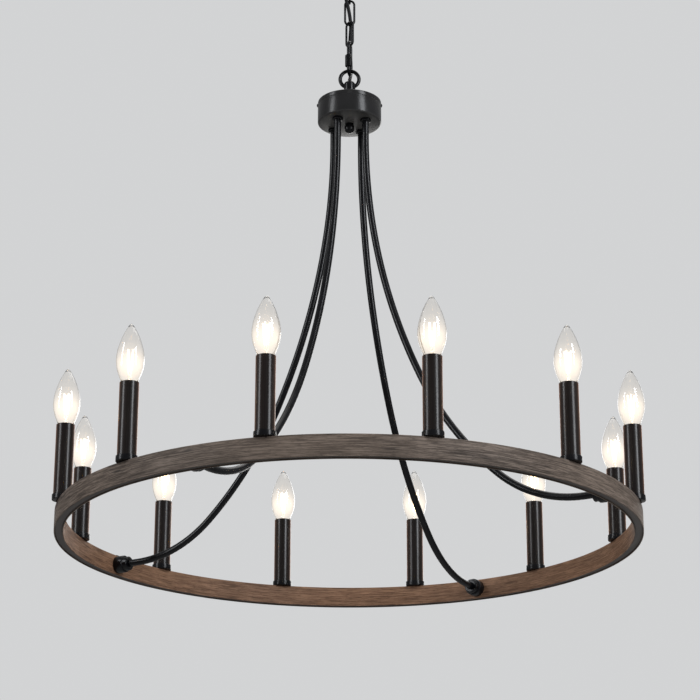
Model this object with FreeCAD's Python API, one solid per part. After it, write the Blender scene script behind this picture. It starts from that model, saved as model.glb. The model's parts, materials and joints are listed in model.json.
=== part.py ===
import FreeCAD, Part
import math
import os

# Wagon wheel chandelier: a wheel rim with twelve candle lights hangs on four bent arms from a
# round hub, which a quick link and three chain links carry under a ceiling canopy.
# Millimetres, +Z up, origin on the ceiling in the middle of the outlet box.
# Plan angles are counted from the front (-Y) towards the right (+X).

V = FreeCAD.Vector
UP = V(0, 0, 1)
ORIGIN = V(0, 0, 0)

# --- Wheel rim: an upside-down channel, its bottom cover and the splice strap
RIM_RADIUS = 395.0
RIM_WIDTH = 12.7
RIM_HEIGHT = 28.0
RIM_WALL = 1.4
COVER_THICKNESS = 1.4
COVER_RECESS = 1.5
COVER_GAP = 0.15
SPLICE_LENGTH = 27.0
SPLICE_WIDTH = 9.0
SPLICE_THICKNESS = 1.6
SPLICE_ANGLE = -122.0

# --- Lights
LIGHT_COUNT = 12
FIRST_LIGHT_ANGLE = 15.0
CUP_RADIUS = 13.9
CUP_HEIGHT = 7.4
CUP_WALL = 1.2
SLEEVE_RADIUS = 12.4
SLEEVE_WALL = 1.2
SLEEVE_LENGTH = 102.2
SOCKET_RADIUS = 9.8
SOCKET_DROP = 3.0
SOCKET_BORE_RADIUS = 6.6
SOCKET_BORE_DEPTH = 21.0
CAP_RADIUS = 6.0
CAP_LENGTH = 20.0
BULB_NECK_RADIUS = 8.6
# Radius of the glass at heights above the sleeve, from the neck's flare to the tip.
BULB_GLASS = ((14.9, 12.0), (17.95, 28.0), (16.3, 44.0), (11.4, 60.0), (5.4, 72.5), (1.6, 78.3))

# --- Hub
HUB_RADIUS = 45.75
HUB_WALL = 1.5
HUB_FLOOR = 2.5
HUB_BODY_HEIGHT = 27.5
HUB_EDGE = 4.5
LID_HEIGHT = 6.3
LID_TOP = 2.0
SPIGOT_HEIGHT = 3.9
SPIGOT_GAP = 0.2
HUB_ABOVE_RIM = 619.5
SIDE_SCREW_HEAD_RADIUS = 2.6
SIDE_SCREW_HEAD_HEIGHT = 1.8
SIDE_SCREW_RADIUS = 1.2
SIDE_SCREW_LENGTH = 5.0
FINIAL_RADIUS = 7.4
FINIAL_NECK_RADIUS = 6.2
FINIAL_HEIGHT = 14.4
# The finial's outline below its neck, as shares of its radius and height.
FINIAL_OUTLINE = ((1.0, 0.32), (1.0, 0.62), (0.7, 0.9), (0.25, 1.0))

# --- Threaded stems, their nuts and the hanging loops
STEM_RADIUS = 4.9
STEM_BORE_RADIUS = 3.6
STEM_GRIP = 10.0
FINIAL_GRIP = 6.0
THREAD_GAP = 0.1
HOLE_GAP = 0.3
STEM_NUT_ACROSS = 16.0
STEM_NUT_HEIGHT = 4.5
WINDOW_LENGTH = 14.0
WINDOW_WIDTH = 6.5
LOOP_RADIUS = 13.6
LOOP_WIRE_RADIUS = 2.7
LOOP_RISE = 4.1
COLLAR_RADIUS = 8.35
COLLAR_LENGTH = 29.2
COLLAR_DOME = 3.0
BEND_SHARE = 0.3

# --- Chain and quick link
LINK_WIRE_RADIUS = 1.6
LINK_LENGTH = 42.8
LINK_WIDTH = 16.7
LINK_PLAN_ANGLES = (90.0, 0.0, 135.0)
SQUARE_CROSSING_GAP = 0.3
OBLIQUE_CROSSING_GAP = 1.8
QUICK_CROSSING_GAP = 1.1
HUB_CROSSING_GAP = 0.35
QUICK_WIRE_RADIUS = 2.5
QUICK_LENGTH = 56.0
QUICK_WIDTH = 20.0
QUICK_PLAN_ANGLE = 78.0
QUICK_MOUTH = 8.0
QUICK_MOUTH_RISE = 13.0
QUICK_NUT_ACROSS = 9.0
QUICK_NUT_LENGTH = 18.6
QUICK_NUT_RISE = 9.0
QUICK_NUT_GAP = 0.15

# --- Canopy and crossbar
CANOPY_RADIUS = 63.0
CANOPY_DEPTH = 25.0
CANOPY_WALL = 1.2
CANOPY_SHOULDER = 12.0
CROSSBAR_LENGTH = 108.0
CROSSBAR_WIDTH = 19.0
CROSSBAR_THICKNESS = 2.5
BOX_HOLE_SPACING = 88.9
BOX_SLOT_WIDTH = 4.6
BOX_SLOT_LENGTH = 12.0
GROUND_SCREW_PLACE = 24.0
GROUND_SCREW_RADIUS = 1.9
GROUND_HEAD_ACROSS = 7.0
GROUND_HEAD_HEIGHT = 2.6

# --- Arms
ARM_NAMES = ("front_left", "front_right", "back_right", "back_left")
FIRST_ARM_ANGLE = -30.0
ARM_HUB_TURN = -6.5
ARM_HUB_RADIUS = 28.5
ARM_TUBE_RADIUS = 4.85
ARM_RIM_HEIGHT = 14.5
ARM_END_GAP = 0.25
ARM_NUT_ACROSS = 14.0
ARM_NUT_HEIGHT = 4.5
ARM_THREAD_END = 2.0
# Corners of the arm's line: the first below the hub, the others counted from the rim end.
SHOULDER_DROP = 229.0
KNEE_IN = 223.8
KNEE_UP = 109.1
FOOT_IN = 102.7
SHOULDER_SHARE = 0.6825
KNEE_SHARE = 0.579
BUSH_RADIUS = 12.2
BUSH_LENGTH = 14.0
BUSH_CHAMFER = 1.2
BUSH_NOSE_RADIUS = 10.0
BUSH_NOSE_LENGTH = 7.0
BUSH_GAP = 0.15

# --- Cord
CORD_RADIUS = 2.6
CORD_REACH = 0.45

# Flat sides round a turned or bent piece, flat steps in each half turn of a wire and in each
# bend of an arm, and how far a cutting tool runs past the face that it cuts.
HUB_SIDES = 24
SMALL_SIDES = 10
BULB_SIDES = 8
ARM_SIDES = 8
SOCKET_SIDES = 8
CORD_SIDES = 6
WIRE_STEPS = 6
LOOP_STEPS = 8
ARM_BEND_STEPS = 7
CUT_OVER = 1.0


# ---------------------------------------------------------------- ways of making a solid

def on_plan(radius, angle, height=0.0):
    turn = math.radians(angle)
    return V(radius * math.sin(turn), -radius * math.cos(turn), height)


def skin(outlines, closed):
    """Solid of flat faces from each outline to the next; its ends meet if closed, or are capped."""
    count = len(outlines[0])
    pairs = list(zip(outlines, outlines[1:]))
    if closed:
        pairs.append((outlines[-1], outlines[0]))
    faces = []
    for low, high in pairs:
        for here in range(count):
            there = (here + 1) % count
            corners = [low[here], low[there], high[there], high[here], low[here]]
            faces.append(Part.Face(Part.makePolygon(corners)))
    if not closed:
        for end in (outlines[0], outlines[-1]):
            faces.append(Part.Face(Part.makePolygon(end + end[:1])))
    solid = Part.makeSolid(Part.makeShell(faces))
    if solid.Volume < 0:
        solid.reverse()
    return solid


def turned(profile, sides, hollow):
    """A (radius, height) profile turned about +Z in flat steps: a closed hollow one, or a stack
    of rings from one end of a full piece to the other."""
    step = 360.0 / sides
    if hollow:
        outlines = [[on_plan(r, step * k, z) for r, z in profile] for k in range(sides)]
        return skin(outlines, True)
    outlines = [[on_plan(r, step * k, z) for k in range(sides)] for r, z in profile]
    return skin(outlines, False)


def bent_wire(path, radius):
    """A closed flat ring of wire, mitred at each point of its path."""
    centre = sum(path, V()) * (1.0 / len(path))
    across = (path[0] - centre).cross(path[1] - centre).normalize()
    outlines = []
    for here, point in enumerate(path):
        before = (point - path[here - 1]).normalize()
        after = (path[(here + 1) % len(path)] - point).normalize()
        outward = (before + after).cross(across).normalize()
        stretch = radius / outward.dot(after.cross(across))
        outline = []
        for side in range(SMALL_SIDES):
            turn = 2 * math.pi * side / SMALL_SIDES
            sideways = outward * (stretch * math.cos(turn))
            outline.append(point + sideways + across * (radius * math.sin(turn)))
        outlines.append(outline)
    return skin(outlines, True)


def half_turn(height, radius, sideways, start, steps):
    points = []
    for step in range(steps + 1):
        swing = start + math.pi * step / steps
        rise = height + radius * math.sin(swing)
        points.append(sideways * (radius * math.cos(swing)) + UP * rise)
    return points


def oval_path(top, bottom, end_radius, plan_angle):
    turn = math.radians(plan_angle)
    sideways = V(math.cos(turn), math.sin(turn), 0)
    upper = half_turn(top - end_radius, end_radius, sideways, 0.0, WIRE_STEPS)
    lower = half_turn(bottom + end_radius, end_radius, sideways, math.pi, WIRE_STEPS)
    return upper + lower


def circle_path(height, radius, plan_angle):
    turn = math.radians(plan_angle)
    sideways = V(math.cos(turn), math.sin(turn), 0)
    upper = half_turn(height, radius, sideways, 0.0, LOOP_STEPS)
    lower = half_turn(height, radius, sideways, math.pi, LOOP_STEPS)
    return upper[:-1] + lower[:-1]


def hexagon(across):
    corner = across / math.sqrt(3)
    return [on_plan(corner, 60.0 * k) for k in range(7)]


def hexagon_nut(across, bore_radius, height, at, sides=SMALL_SIDES):
    nut = Part.Face(Part.makePolygon(hexagon(across))).extrude(UP * height)
    nut = nut.cut(turned([(bore_radius, -CUT_OVER), (bore_radius, height + CUT_OVER)], sides, False))
    nut.translate(at)
    return nut


def bend_radius(before, corner, after, length):
    half = (before - corner).getAngle(after - corner) / 2
    return length * math.tan(half)


def arc_path(points, lengths):
    """A wire of straight runs and arcs; each arc starts its length before the corner."""
    edges = []
    start = points[0]
    for before, corner, after, length in zip(points, points[1:], points[2:], lengths):
        back = (before - corner).normalize()
        on = (after - corner).normalize()
        half = back.getAngle(on) / 2
        middle = (back + on).normalize()
        enter = corner + back * length
        leave = corner + on * length
        radius = bend_radius(before, corner, after, length)
        crown = corner + middle * (length / math.cos(half) - radius)
        if (enter - start).Length > 0.01:
            edges.append(Part.LineSegment(start, enter).toShape())
        edges.append(Part.Arc(enter, crown, leave).toShape())
        start = leave
    edges.append(Part.LineSegment(start, points[-1]).toShape())
    return Part.Wire(edges)


def section(radius, sides):
    """Corners of a bar's flat-sided section, level and round the origin."""
    turns = [2 * math.pi * k / sides for k in range(sides)]
    return [V(radius * math.cos(turn), radius * math.sin(turn), 0) for turn in turns]


def swept(path, radius, sides):
    """A full bar of flat sides along a path of runs and arcs that starts downwards."""
    corners = section(radius, sides)
    face = Part.Face(Part.makePolygon(corners + corners[:1]))
    start = path.Edges[0].firstVertex().Point
    face.Placement = FreeCAD.Placement(start, FreeCAD.Rotation(UP, UP * -1))
    bar = path.makePipe(face)
    if bar.Volume < 0:
        bar.reverse()
    return bar


def volume_share(bar, path, radius, sides):
    """The bar's volume over its section's area times its path's length, which is close to 1."""
    area = sides * radius ** 2 * math.sin(2 * math.pi / sides) / 2
    return bar.Volume / (area * path.Length)


def mitred_bar(path, radius, sides, steps):
    """The same bar with each arc of the path in flat steps, mitred from step to step."""
    points = [path.Edges[0].firstVertex().Point]
    for edge in path.Edges:
        straight = isinstance(edge.Curve, Part.Line)
        points += edge.discretize(2 if straight else steps + 1)[1:]
    ring = [points[0] + corner for corner in section(radius, sides)]
    outlines = [ring]
    for before, here, after in zip(points, points[1:], points[2:] + [points[-1] * 2 - points[-2]]):
        run = (here - before).normalize()
        mitre = run + (after - here).normalize()
        ring = [corner + run * ((here - corner).dot(mitre) / run.dot(mitre)) for corner in ring]
        outlines.append(ring)
    return skin(outlines, False)


# ---------------------------------------------------------------- heights from the ceiling down

CANOPY_BOTTOM = -CANOPY_DEPTH
LOOP_BASE_TO_CENTRE = COLLAR_LENGTH + LOOP_RISE
TOP_LOOP_CENTRE = CANOPY_BOTTOM - STEM_NUT_HEIGHT - LOOP_BASE_TO_CENTRE
TOP_HOOK = TOP_LOOP_CENTRE - LOOP_RADIUS
LINK_PITCH = LINK_LENGTH - 2 * LINK_WIRE_RADIUS
LINK_1_TOP = TOP_HOOK + LOOP_WIRE_RADIUS + LINK_WIRE_RADIUS + SQUARE_CROSSING_GAP
LINK_1_BOTTOM = LINK_1_TOP - LINK_PITCH
LINK_2_TOP = LINK_1_BOTTOM + 2 * LINK_WIRE_RADIUS + SQUARE_CROSSING_GAP
LINK_2_BOTTOM = LINK_2_TOP - LINK_PITCH
LINK_3_TOP = LINK_2_BOTTOM + 2 * LINK_WIRE_RADIUS + OBLIQUE_CROSSING_GAP
LINK_3_BOTTOM = LINK_3_TOP - LINK_PITCH
QUICK_TOP = LINK_3_BOTTOM + LINK_WIRE_RADIUS + QUICK_WIRE_RADIUS + QUICK_CROSSING_GAP
QUICK_BOTTOM = QUICK_TOP - (QUICK_LENGTH - 2 * QUICK_WIRE_RADIUS)
HUB_HOOK = QUICK_BOTTOM + QUICK_WIRE_RADIUS + LOOP_WIRE_RADIUS + HUB_CROSSING_GAP
HUB_LOOP_CENTRE = HUB_HOOK - LOOP_RADIUS
LID_TOP_FACE = HUB_LOOP_CENTRE - LOOP_BASE_TO_CENTRE - STEM_NUT_HEIGHT
HUB_SEAM = LID_TOP_FACE - LID_HEIGHT
HUB_BOTTOM = HUB_SEAM - HUB_BODY_HEIGHT
RIM_BOTTOM = HUB_BOTTOM - HUB_ABOVE_RIM
RIM_TOP = RIM_BOTTOM + RIM_HEIGHT
RIM_INSIDE = RIM_RADIUS - RIM_WIDTH
RIM_MIDDLE = RIM_RADIUS - RIM_WIDTH / 2
CUP_FLOOR = RIM_TOP + CUP_WALL
SLEEVE_TOP = CUP_FLOOR + SLEEVE_LENGTH
ARM_ANGLES = [FIRST_ARM_ANGLE + 360.0 / len(ARM_NAMES) * k for k in range(len(ARM_NAMES))]


# ---------------------------------------------------------------- wheel rim

def revolved_ring(profile):
    points = [V(r, 0, z) for r, z in profile]
    return Part.Face(Part.makePolygon(points + points[:1])).revolve(ORIGIN, UP, 360)


def rim_channel():
    low = RIM_BOTTOM
    ceiling = RIM_TOP - RIM_WALL
    outer = RIM_RADIUS - RIM_WALL
    inner = RIM_INSIDE + RIM_WALL
    return revolved_ring([
        (RIM_RADIUS, low), (RIM_RADIUS, RIM_TOP), (RIM_INSIDE, RIM_TOP), (RIM_INSIDE, low),
        (inner, low), (inner, ceiling), (outer, ceiling), (outer, low)])


def rim_cover():
    outer = RIM_RADIUS - RIM_WALL - COVER_GAP
    inner = RIM_INSIDE + RIM_WALL + COVER_GAP
    low = RIM_BOTTOM + COVER_RECESS
    high = low + COVER_THICKNESS
    return revolved_ring([(outer, low), (outer, high), (inner, high), (inner, low)])


def splice_strap():
    half = math.degrees(SPLICE_LENGTH / 2 / RIM_MIDDLE)
    outer = RIM_MIDDLE + SPLICE_WIDTH / 2
    inner = RIM_MIDDLE - SPLICE_WIDTH / 2
    start = SPLICE_ANGLE - half
    end = SPLICE_ANGLE + half
    edges = [
        Part.Arc(on_plan(outer, start, RIM_TOP), on_plan(outer, SPLICE_ANGLE, RIM_TOP),
                 on_plan(outer, end, RIM_TOP)).toShape(),
        Part.LineSegment(on_plan(outer, end, RIM_TOP), on_plan(inner, end, RIM_TOP)).toShape(),
        Part.Arc(on_plan(inner, end, RIM_TOP), on_plan(inner, SPLICE_ANGLE, RIM_TOP),
                 on_plan(inner, start, RIM_TOP)).toShape(),
        Part.LineSegment(on_plan(inner, start, RIM_TOP), on_plan(outer, start, RIM_TOP)).toShape()]
    return Part.Face(Part.Wire(edges)).extrude(UP * SPLICE_THICKNESS)


# ---------------------------------------------------------------- lights

def around_rim(solid):
    """The same solid at each light's place on the rim."""
    copies = []
    for k in range(LIGHT_COUNT):
        copy = solid.copy()
        copy.translate(on_plan(RIM_MIDDLE, FIRST_LIGHT_ANGLE + 360.0 / LIGHT_COUNT * k))
        copies.append(copy)
    return Part.makeCompound(copies)


def light_cup():
    high = RIM_TOP + CUP_HEIGHT
    inner = CUP_RADIUS - CUP_WALL
    cup = turned([(CUP_RADIUS, RIM_TOP), (CUP_RADIUS, high)], SMALL_SIDES, False)
    return cup.cut(turned([(inner, CUP_FLOOR), (inner, high + CUT_OVER)], SMALL_SIDES, False))


def candle_sleeve():
    inner = SLEEVE_RADIUS - SLEEVE_WALL
    return turned([(SLEEVE_RADIUS, CUP_FLOOR), (SLEEVE_RADIUS, SLEEVE_TOP), (inner, SLEEVE_TOP),
                   (inner, CUP_FLOOR)], SMALL_SIDES, True)


def socket():
    high = SLEEVE_TOP - SOCKET_DROP
    body = turned([(SOCKET_RADIUS, CUP_FLOOR), (SOCKET_RADIUS, high)], SOCKET_SIDES, False)
    bore = turned([(SOCKET_BORE_RADIUS, high - SOCKET_BORE_DEPTH),
                   (SOCKET_BORE_RADIUS, high + CUT_OVER)], SOCKET_SIDES, False)
    return body.cut(bore)


def bulb():
    """Screw cap in the socket, neck, and the pointed glass as a stack of rings."""
    seat = SLEEVE_TOP - SOCKET_DROP
    rings = [(CAP_RADIUS, seat - CAP_LENGTH), (CAP_RADIUS, seat), (BULB_NECK_RADIUS, seat)]
    for radius, height in BULB_GLASS:
        rings.append((radius, SLEEVE_TOP + height))
    return turned(rings, BULB_SIDES, False)


# ---------------------------------------------------------------- hub

def hub_body():
    shoulder = HUB_RADIUS - HUB_WALL - SPIGOT_GAP
    inner = shoulder - HUB_WALL
    hole = STEM_RADIUS + HOLE_GAP
    rounding = BEND_SHARE * HUB_EDGE
    body = turned([
        (hole, HUB_BOTTOM), (HUB_RADIUS - HUB_EDGE, HUB_BOTTOM),
        (HUB_RADIUS - rounding, HUB_BOTTOM + rounding), (HUB_RADIUS, HUB_BOTTOM + HUB_EDGE),
        (HUB_RADIUS, HUB_SEAM), (shoulder, HUB_SEAM), (shoulder, HUB_SEAM + SPIGOT_HEIGHT),
        (inner, HUB_SEAM + SPIGOT_HEIGHT), (inner, HUB_BOTTOM + HUB_FLOOR),
        (hole, HUB_BOTTOM + HUB_FLOOR)], HUB_SIDES, True)
    for angle in ARM_ANGLES:
        radius = ARM_TUBE_RADIUS + HOLE_GAP
        drill = turned([(radius, HUB_BOTTOM - CUT_OVER),
                        (radius, HUB_BOTTOM + HUB_FLOOR + CUT_OVER)], ARM_SIDES, False)
        drill.translate(on_plan(ARM_HUB_RADIUS, angle + ARM_HUB_TURN))
        body = body.cut(drill)
    return body.cut(side_screw_holes())


def hub_lid():
    hole = STEM_RADIUS + HOLE_GAP
    inner = HUB_RADIUS - HUB_WALL
    rounding = HUB_WALL / 2
    lid = turned([
        (hole, LID_TOP_FACE), (HUB_RADIUS - rounding, LID_TOP_FACE),
        (HUB_RADIUS, LID_TOP_FACE - rounding), (HUB_RADIUS, HUB_SEAM), (inner, HUB_SEAM),
        (inner, LID_TOP_FACE - LID_TOP), (hole, LID_TOP_FACE - LID_TOP)], HUB_SIDES, True)
    return lid.cut(side_screw_holes())


def on_hub_sides(solid):
    """The same solid laid outwards at the hub's right and left, at the lid's skirt."""
    height = HUB_SEAM + (LID_HEIGHT - LID_TOP) / 2
    copies = []
    for angle in (90.0, -90.0):
        copy = solid.copy()
        copy.rotate(ORIGIN, V(0, 1, 0), angle)
        copy.translate(V(math.copysign(HUB_RADIUS, angle), 0, height))
        copies.append(copy)
    return Part.makeCompound(copies)


def side_screw_holes():
    radius = SIDE_SCREW_RADIUS + THREAD_GAP
    return on_hub_sides(turned([(radius, -SIDE_SCREW_LENGTH), (radius, CUT_OVER)], SMALL_SIDES, False))


def side_screws():
    return on_hub_sides(turned([
        (SIDE_SCREW_RADIUS, -SIDE_SCREW_LENGTH), (SIDE_SCREW_RADIUS, 0), (SIDE_SCREW_HEAD_RADIUS, 0),
        (SIDE_SCREW_HEAD_RADIUS, SIDE_SCREW_HEAD_HEIGHT)], SMALL_SIDES, False))


def stem(low, high):
    return turned([(STEM_RADIUS, low), (STEM_RADIUS, high), (STEM_BORE_RADIUS, high),
                   (STEM_BORE_RADIUS, low)], SMALL_SIDES, True)


def hub_stem():
    low = HUB_BOTTOM - FINIAL_GRIP
    high = LID_TOP_FACE + STEM_NUT_HEIGHT + STEM_GRIP
    middle = (HUB_BOTTOM + HUB_FLOOR + LID_TOP_FACE - LID_TOP - STEM_NUT_HEIGHT) / 2
    window = Part.makeBox(STEM_RADIUS + CUT_OVER, WINDOW_WIDTH, WINDOW_LENGTH,
                          V(0, -WINDOW_WIDTH / 2, middle - WINDOW_LENGTH / 2))
    return stem(low, high).cut(window)


def finial():
    bore = STEM_RADIUS + THREAD_GAP
    rings = [(FINIAL_NECK_RADIUS, HUB_BOTTOM)]
    for out, down in FINIAL_OUTLINE:
        rings.append((out * FINIAL_RADIUS, HUB_BOTTOM - down * FINIAL_HEIGHT))
    ball = turned(rings, SMALL_SIDES, False)
    return ball.cut(turned([(bore, HUB_BOTTOM - FINIAL_GRIP), (bore, HUB_BOTTOM + CUT_OVER)],
                           SMALL_SIDES, False))


def stem_nut(low):
    return hexagon_nut(STEM_NUT_ACROSS, STEM_RADIUS + THREAD_GAP, STEM_NUT_HEIGHT, V(0, 0, low))


def hanging_loop():
    """Bored collar with a closed ring of wire in its domed end, standing on the origin."""
    high = COLLAR_LENGTH
    bend = BEND_SHARE * COLLAR_DOME
    collar = turned([
        (COLLAR_RADIUS, 0), (COLLAR_RADIUS, high - COLLAR_DOME), (COLLAR_RADIUS - bend, high - bend),
        (COLLAR_RADIUS - COLLAR_DOME, high)], SMALL_SIDES, False)
    ring = bent_wire(circle_path(high + LOOP_RISE, LOOP_RADIUS, 0.0), LOOP_WIRE_RADIUS)
    bore = turned([(STEM_BORE_RADIUS, -CUT_OVER), (STEM_BORE_RADIUS, high + CUT_OVER)], SMALL_SIDES, False)
    thread = STEM_RADIUS + THREAD_GAP
    socket_end = STEM_GRIP + HOLE_GAP
    return collar.fuse(ring).cut(bore).cut(
        turned([(thread, -CUT_OVER), (thread, socket_end)], SMALL_SIDES, False))


def hub_loop():
    loop = hanging_loop()
    loop.translate(V(0, 0, LID_TOP_FACE + STEM_NUT_HEIGHT))
    return loop


# ---------------------------------------------------------------- chain and quick link

def chain_link(top, plan_angle):
    end_radius = LINK_WIDTH / 2 - LINK_WIRE_RADIUS
    path = oval_path(top, top - LINK_PITCH, end_radius, plan_angle)
    return bent_wire(path, LINK_WIRE_RADIUS)


def quick_leg(height):
    """Point on the middle of the quick link's threaded leg."""
    turn = math.radians(QUICK_PLAN_ANGLE)
    offset = QUICK_WIDTH / 2 - QUICK_WIRE_RADIUS
    return V(-offset * math.cos(turn), -offset * math.sin(turn), QUICK_BOTTOM + height)


def quick_link():
    end_radius = QUICK_WIDTH / 2 - QUICK_WIRE_RADIUS
    body = bent_wire(oval_path(QUICK_TOP, QUICK_BOTTOM, end_radius, QUICK_PLAN_ANGLE), QUICK_WIRE_RADIUS)
    side = 3 * QUICK_WIRE_RADIUS
    mouth = Part.makeBox(side, side, QUICK_MOUTH, V(-side / 2, -side / 2, 0))
    mouth.translate(quick_leg(QUICK_MOUTH_RISE))
    return body.cut(mouth)


def quick_link_nut():
    bore = QUICK_WIRE_RADIUS + QUICK_NUT_GAP
    return hexagon_nut(QUICK_NUT_ACROSS, bore, QUICK_NUT_LENGTH, quick_leg(QUICK_NUT_RISE))


# ---------------------------------------------------------------- canopy and crossbar

def canopy():
    hole = STEM_RADIUS + HOLE_GAP
    side = CANOPY_BOTTOM + CANOPY_SHOULDER
    bend = BEND_SHARE * CANOPY_SHOULDER
    flat = CANOPY_RADIUS - CANOPY_SHOULDER
    wall = CANOPY_WALL
    return turned([
        (CANOPY_RADIUS, 0), (CANOPY_RADIUS, side), (CANOPY_RADIUS - bend, CANOPY_BOTTOM + bend),
        (flat, CANOPY_BOTTOM), (hole, CANOPY_BOTTOM), (hole, CANOPY_BOTTOM + wall),
        (flat - wall / 2, CANOPY_BOTTOM + wall), (CANOPY_RADIUS - bend - wall, CANOPY_BOTTOM + bend + wall),
        (CANOPY_RADIUS - wall, side + wall / 2), (CANOPY_RADIUS - wall, 0)], HUB_SIDES, True)


def box_slot(place):
    """Prism of a slot that runs along X, cut for the outlet box's screws."""
    radius = BOX_SLOT_WIDTH / 2
    reach = BOX_SLOT_LENGTH / 2 - radius
    low = -CROSSBAR_THICKNESS - CUT_OVER
    edges = [
        Part.LineSegment(V(-reach, -radius, low), V(reach, -radius, low)).toShape(),
        Part.Arc(V(reach, -radius, low), V(reach + radius, 0, low), V(reach, radius, low)).toShape(),
        Part.LineSegment(V(reach, radius, low), V(-reach, radius, low)).toShape(),
        Part.Arc(V(-reach, radius, low), V(-reach - radius, 0, low), V(-reach, -radius, low)).toShape()]
    slot = Part.Face(Part.Wire(edges)).extrude(UP * (CROSSBAR_THICKNESS + 2 * CUT_OVER))
    slot.translate(V(place, 0, 0))
    return slot


def crossbar():
    bar = Part.makeBox(CROSSBAR_LENGTH, CROSSBAR_WIDTH, CROSSBAR_THICKNESS,
                       V(-CROSSBAR_LENGTH / 2, -CROSSBAR_WIDTH / 2, -CROSSBAR_THICKNESS))
    for place in (-BOX_HOLE_SPACING / 2, BOX_HOLE_SPACING / 2):
        bar = bar.cut(box_slot(place))
    thread = STEM_RADIUS + THREAD_GAP
    low = -CROSSBAR_THICKNESS - CUT_OVER
    bar = bar.cut(turned([(thread, low), (thread, CUT_OVER)], SMALL_SIDES, False))
    screw = GROUND_SCREW_RADIUS + THREAD_GAP
    hole = turned([(screw, low), (screw, CUT_OVER)], SMALL_SIDES, False)
    hole.translate(V(GROUND_SCREW_PLACE, 0, 0))
    return bar.cut(hole)


def ground_screw():
    head = Part.Face(Part.makePolygon(hexagon(GROUND_HEAD_ACROSS))).extrude(UP * GROUND_HEAD_HEIGHT)
    head.translate(V(0, 0, -CROSSBAR_THICKNESS - GROUND_HEAD_HEIGHT))
    low = -CROSSBAR_THICKNESS - GROUND_HEAD_HEIGHT / 2
    shank = turned([(GROUND_SCREW_RADIUS, low), (GROUND_SCREW_RADIUS, -THREAD_GAP)], SMALL_SIDES, False)
    screw = head.fuse(shank)
    screw.translate(V(GROUND_SCREW_PLACE, 0, 0))
    return screw


def canopy_loop():
    loop = hanging_loop()
    loop.rotate(ORIGIN, V(1, 0, 0), 180)
    loop.translate(V(0, 0, CANOPY_BOTTOM - STEM_NUT_HEIGHT))
    return loop


# ---------------------------------------------------------------- arms

def arm_line(angle):
    """The arm's start over the hub's floor, its heading in plan and its reach to the rim."""
    top = on_plan(ARM_HUB_RADIUS, angle + ARM_HUB_TURN)
    end = on_plan(RIM_INSIDE - ARM_END_GAP, angle)
    heading = (end - top).normalize()
    return top, heading, (end - top).Length


def arm(angle):
    top, heading, reach = arm_line(angle)
    level = RIM_BOTTOM + ARM_RIM_HEIGHT
    high = HUB_BOTTOM + HUB_FLOOR + ARM_NUT_HEIGHT + ARM_THREAD_END
    corners = [
        top + UP * high,
        top + UP * (HUB_BOTTOM - SHOULDER_DROP),
        top + heading * (reach - KNEE_IN) + UP * (level + KNEE_UP),
        top + heading * (reach - FOOT_IN) + UP * level,
        top + heading * reach + UP * level]
    runs = [(after - before).Length for before, after in zip(corners, corners[1:])]
    shoulder = min(SHOULDER_SHARE * runs[1], SHOULDER_DROP - ARM_NUT_HEIGHT)
    knee = min((1 - SHOULDER_SHARE) * runs[1], KNEE_SHARE * runs[2])
    foot = min((1 - KNEE_SHARE) * runs[2], FOOT_IN - BUSH_LENGTH - BUSH_NOSE_LENGTH)
    path = arc_path(corners, [shoulder, knee, foot])
    bar = mitred_bar(path, ARM_TUBE_RADIUS, ARM_SIDES, ARM_BEND_STEPS)
    print("arm: volume over section times length %.4f" % volume_share(bar, path, ARM_TUBE_RADIUS, ARM_SIDES))
    return bar


def arm_bush(angle):
    """Turned bush that carries the arm's end at the rim's inner wall."""
    top, heading, reach = arm_line(angle)
    bore = ARM_TUBE_RADIUS + BUSH_GAP
    length = BUSH_LENGTH + BUSH_NOSE_LENGTH
    bush = turned([
        (BUSH_RADIUS, 0), (BUSH_RADIUS, BUSH_LENGTH - BUSH_CHAMFER),
        (BUSH_RADIUS - BUSH_CHAMFER, BUSH_LENGTH), (BUSH_NOSE_RADIUS, BUSH_LENGTH),
        (BUSH_NOSE_RADIUS, length)], SMALL_SIDES, False)
    bush = bush.cut(turned([(bore, -CUT_OVER), (bore, length + CUT_OVER)], ARM_SIDES, False))
    place = top + heading * reach + UP * (RIM_BOTTOM + ARM_RIM_HEIGHT)
    bush.Placement = FreeCAD.Placement(place, FreeCAD.Rotation(UP, heading * -1))
    return bush


def arm_nuts(low):
    nuts = []
    for angle in ARM_ANGLES:
        at = on_plan(ARM_HUB_RADIUS, angle + ARM_HUB_TURN, low)
        bore = ARM_TUBE_RADIUS + THREAD_GAP
        nuts.append(hexagon_nut(ARM_NUT_ACROSS, bore, ARM_NUT_HEIGHT, at, ARM_SIDES))
    return Part.makeCompound(nuts)


# ---------------------------------------------------------------- cord

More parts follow.
